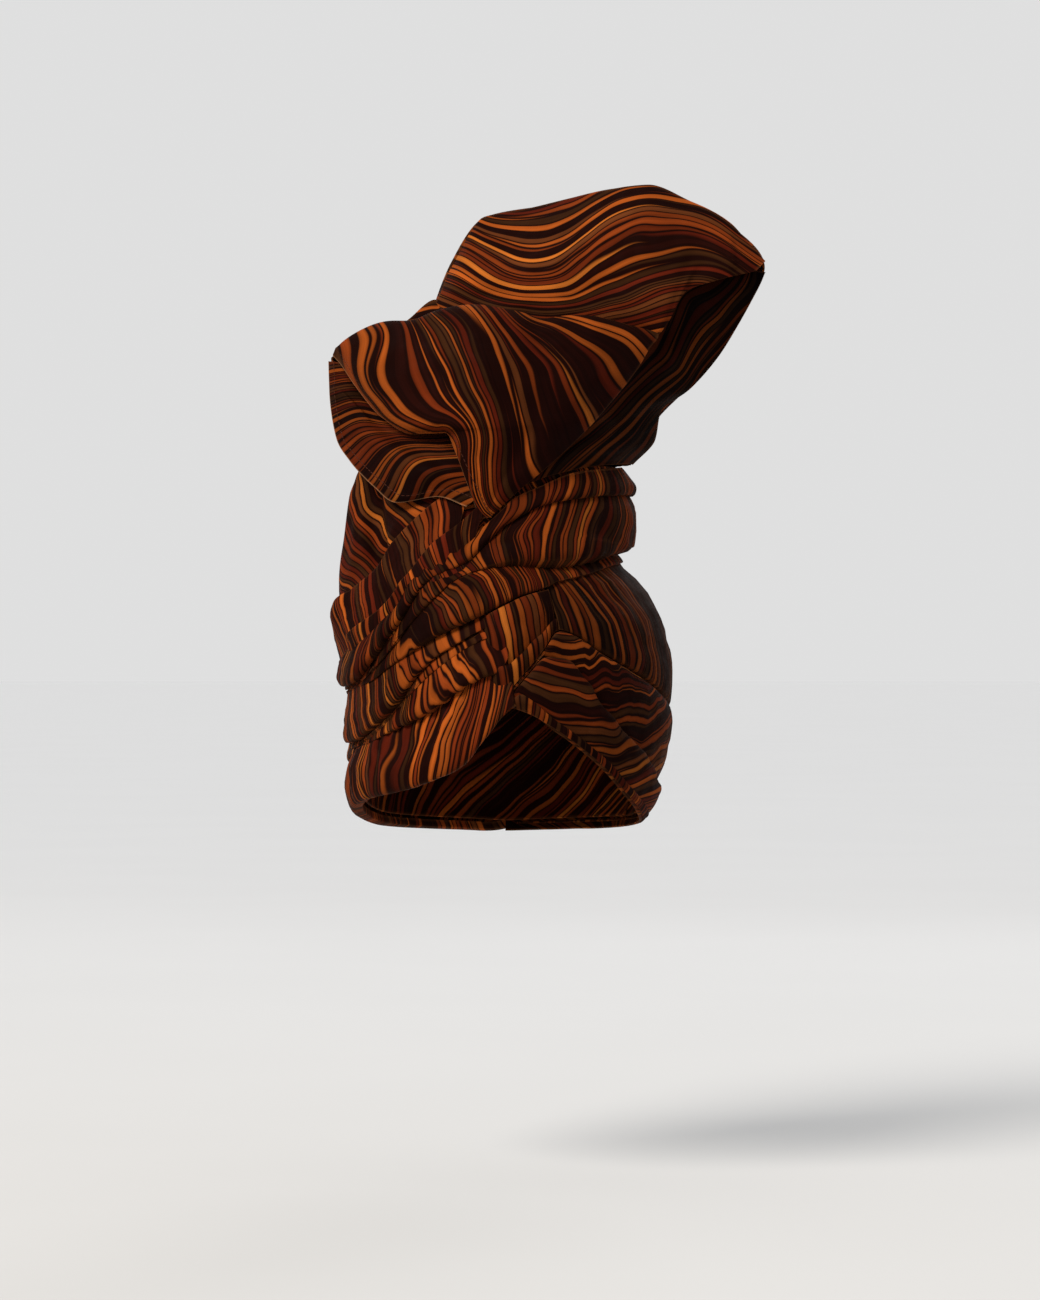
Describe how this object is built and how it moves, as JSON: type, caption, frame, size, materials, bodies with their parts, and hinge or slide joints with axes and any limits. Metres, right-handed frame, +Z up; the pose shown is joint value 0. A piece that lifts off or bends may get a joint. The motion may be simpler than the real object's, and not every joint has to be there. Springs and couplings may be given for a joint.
{
  "type": "turban headwrap",
  "caption": "Tall turban headwrap of printed cotton with wraps crossed at the brow, a diagonal tie and a draped, folded tower that leans to the side.",
  "frame": {"origin": "top of the wearer's head, where the bunched cloth of the neck sits on it", "axes": "+Z up, the wearer faces -Y, +X is the right side seen from the front"},
  "size_m": [0.248, 0.22, 0.3721],
  "materials": {
    "crown_cloth": "cotton printed with wavy stripes of orange, red-brown and near black",
    "wrap_cloth": "cotton printed with wavy stripes of orange, red-brown and near black",
    "tower_cloth": "cotton printed with wavy stripes of orange, red-brown and near black",
    "inner_cloth": "bunched printed cotton, in shadow"
  },
  "bodies": {
    "root": {"crown": "crown_cloth", "left_brow_wrap": "wrap_cloth", "right_brow_wrap": "wrap_cloth", "left_middle_wrap": "wrap_cloth", "knot_fold": "wrap_cloth", "right_crown_wrap": "wrap_cloth", "diagonal_wrap": "wrap_cloth", "neck_bundle": "inner_cloth", "tower_back": "tower_cloth", "top_fan": "tower_cloth", "right_panel": "tower_cloth", "centre_drape": "tower_cloth", "left_ruffle": "tower_cloth"}
  },
  "joints": []
}
